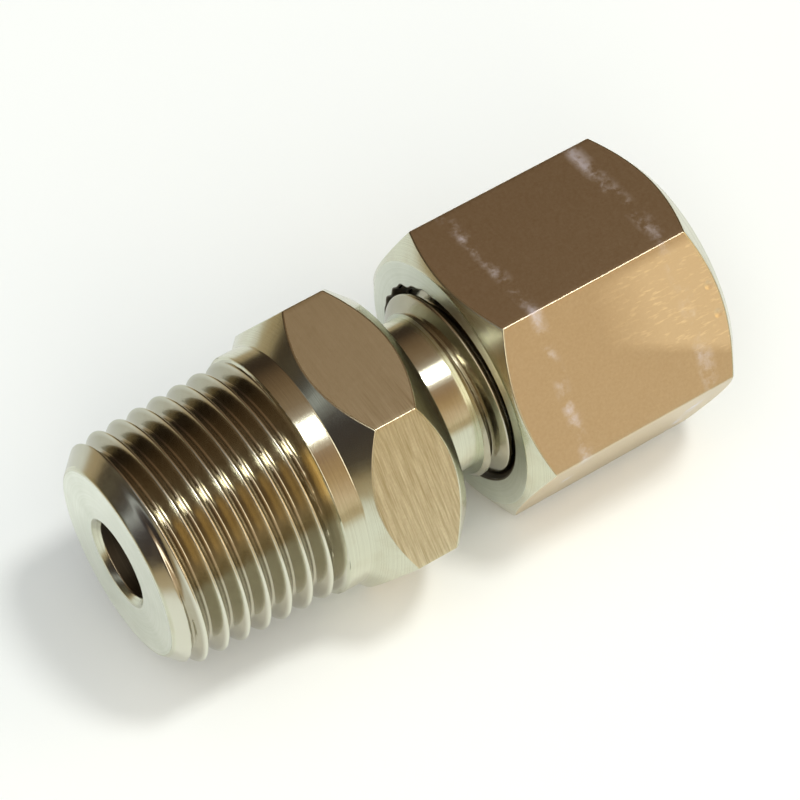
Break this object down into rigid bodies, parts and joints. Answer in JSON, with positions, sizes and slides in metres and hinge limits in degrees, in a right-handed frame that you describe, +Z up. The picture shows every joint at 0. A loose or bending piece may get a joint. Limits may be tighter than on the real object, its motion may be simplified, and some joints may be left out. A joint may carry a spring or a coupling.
{
  "type": "thermocouple compression fitting",
  "caption": "Straight compression fitting that screws into a tapered pipe hole and grips a thin temperature probe with a ferrule and a hexagonal gland nut.",
  "frame": {"origin": "centre of the fitting's box, on the surface that it lies on", "axes": "+X along the fitting's axis from the pipe thread to the nut, +Z up, +Y away from the side that the picture was taken from"},
  "size_m": [0.0252, 0.0126, 0.0115],
  "materials": {
    "turned_body_steel": "turned and milled, with fine tool lines",
    "ferrule_steel": "smooth turned",
    "milled_nut_steel": "drawn hexagon bar with light handling marks"
  },
  "bodies": {
    "fitting": {"fitting_body": "turned_body_steel"},
    "ferrule": {"ferrule": "ferrule_steel"},
    "nut": {"compression_nut": "milled_nut_steel"}
  },
  "joints": [
    {"name": "nut_advance", "type": "slide", "parent": "fitting", "child": "ferrule", "axis": [1, 0, 0], "range_m": [-0.00098, 0.0056]},
    {"name": "nut_screw", "type": "hinge", "parent": "ferrule", "child": "nut", "pos_m": [0, 0, 0.00574], "axis": [1, 0, 0], "range_deg": [-350, 1980]}
  ],
  "couplings": [
    {"joint": "nut_advance", "follows": "nut_screw", "m_per_rad": 0.00015915}
  ]
}
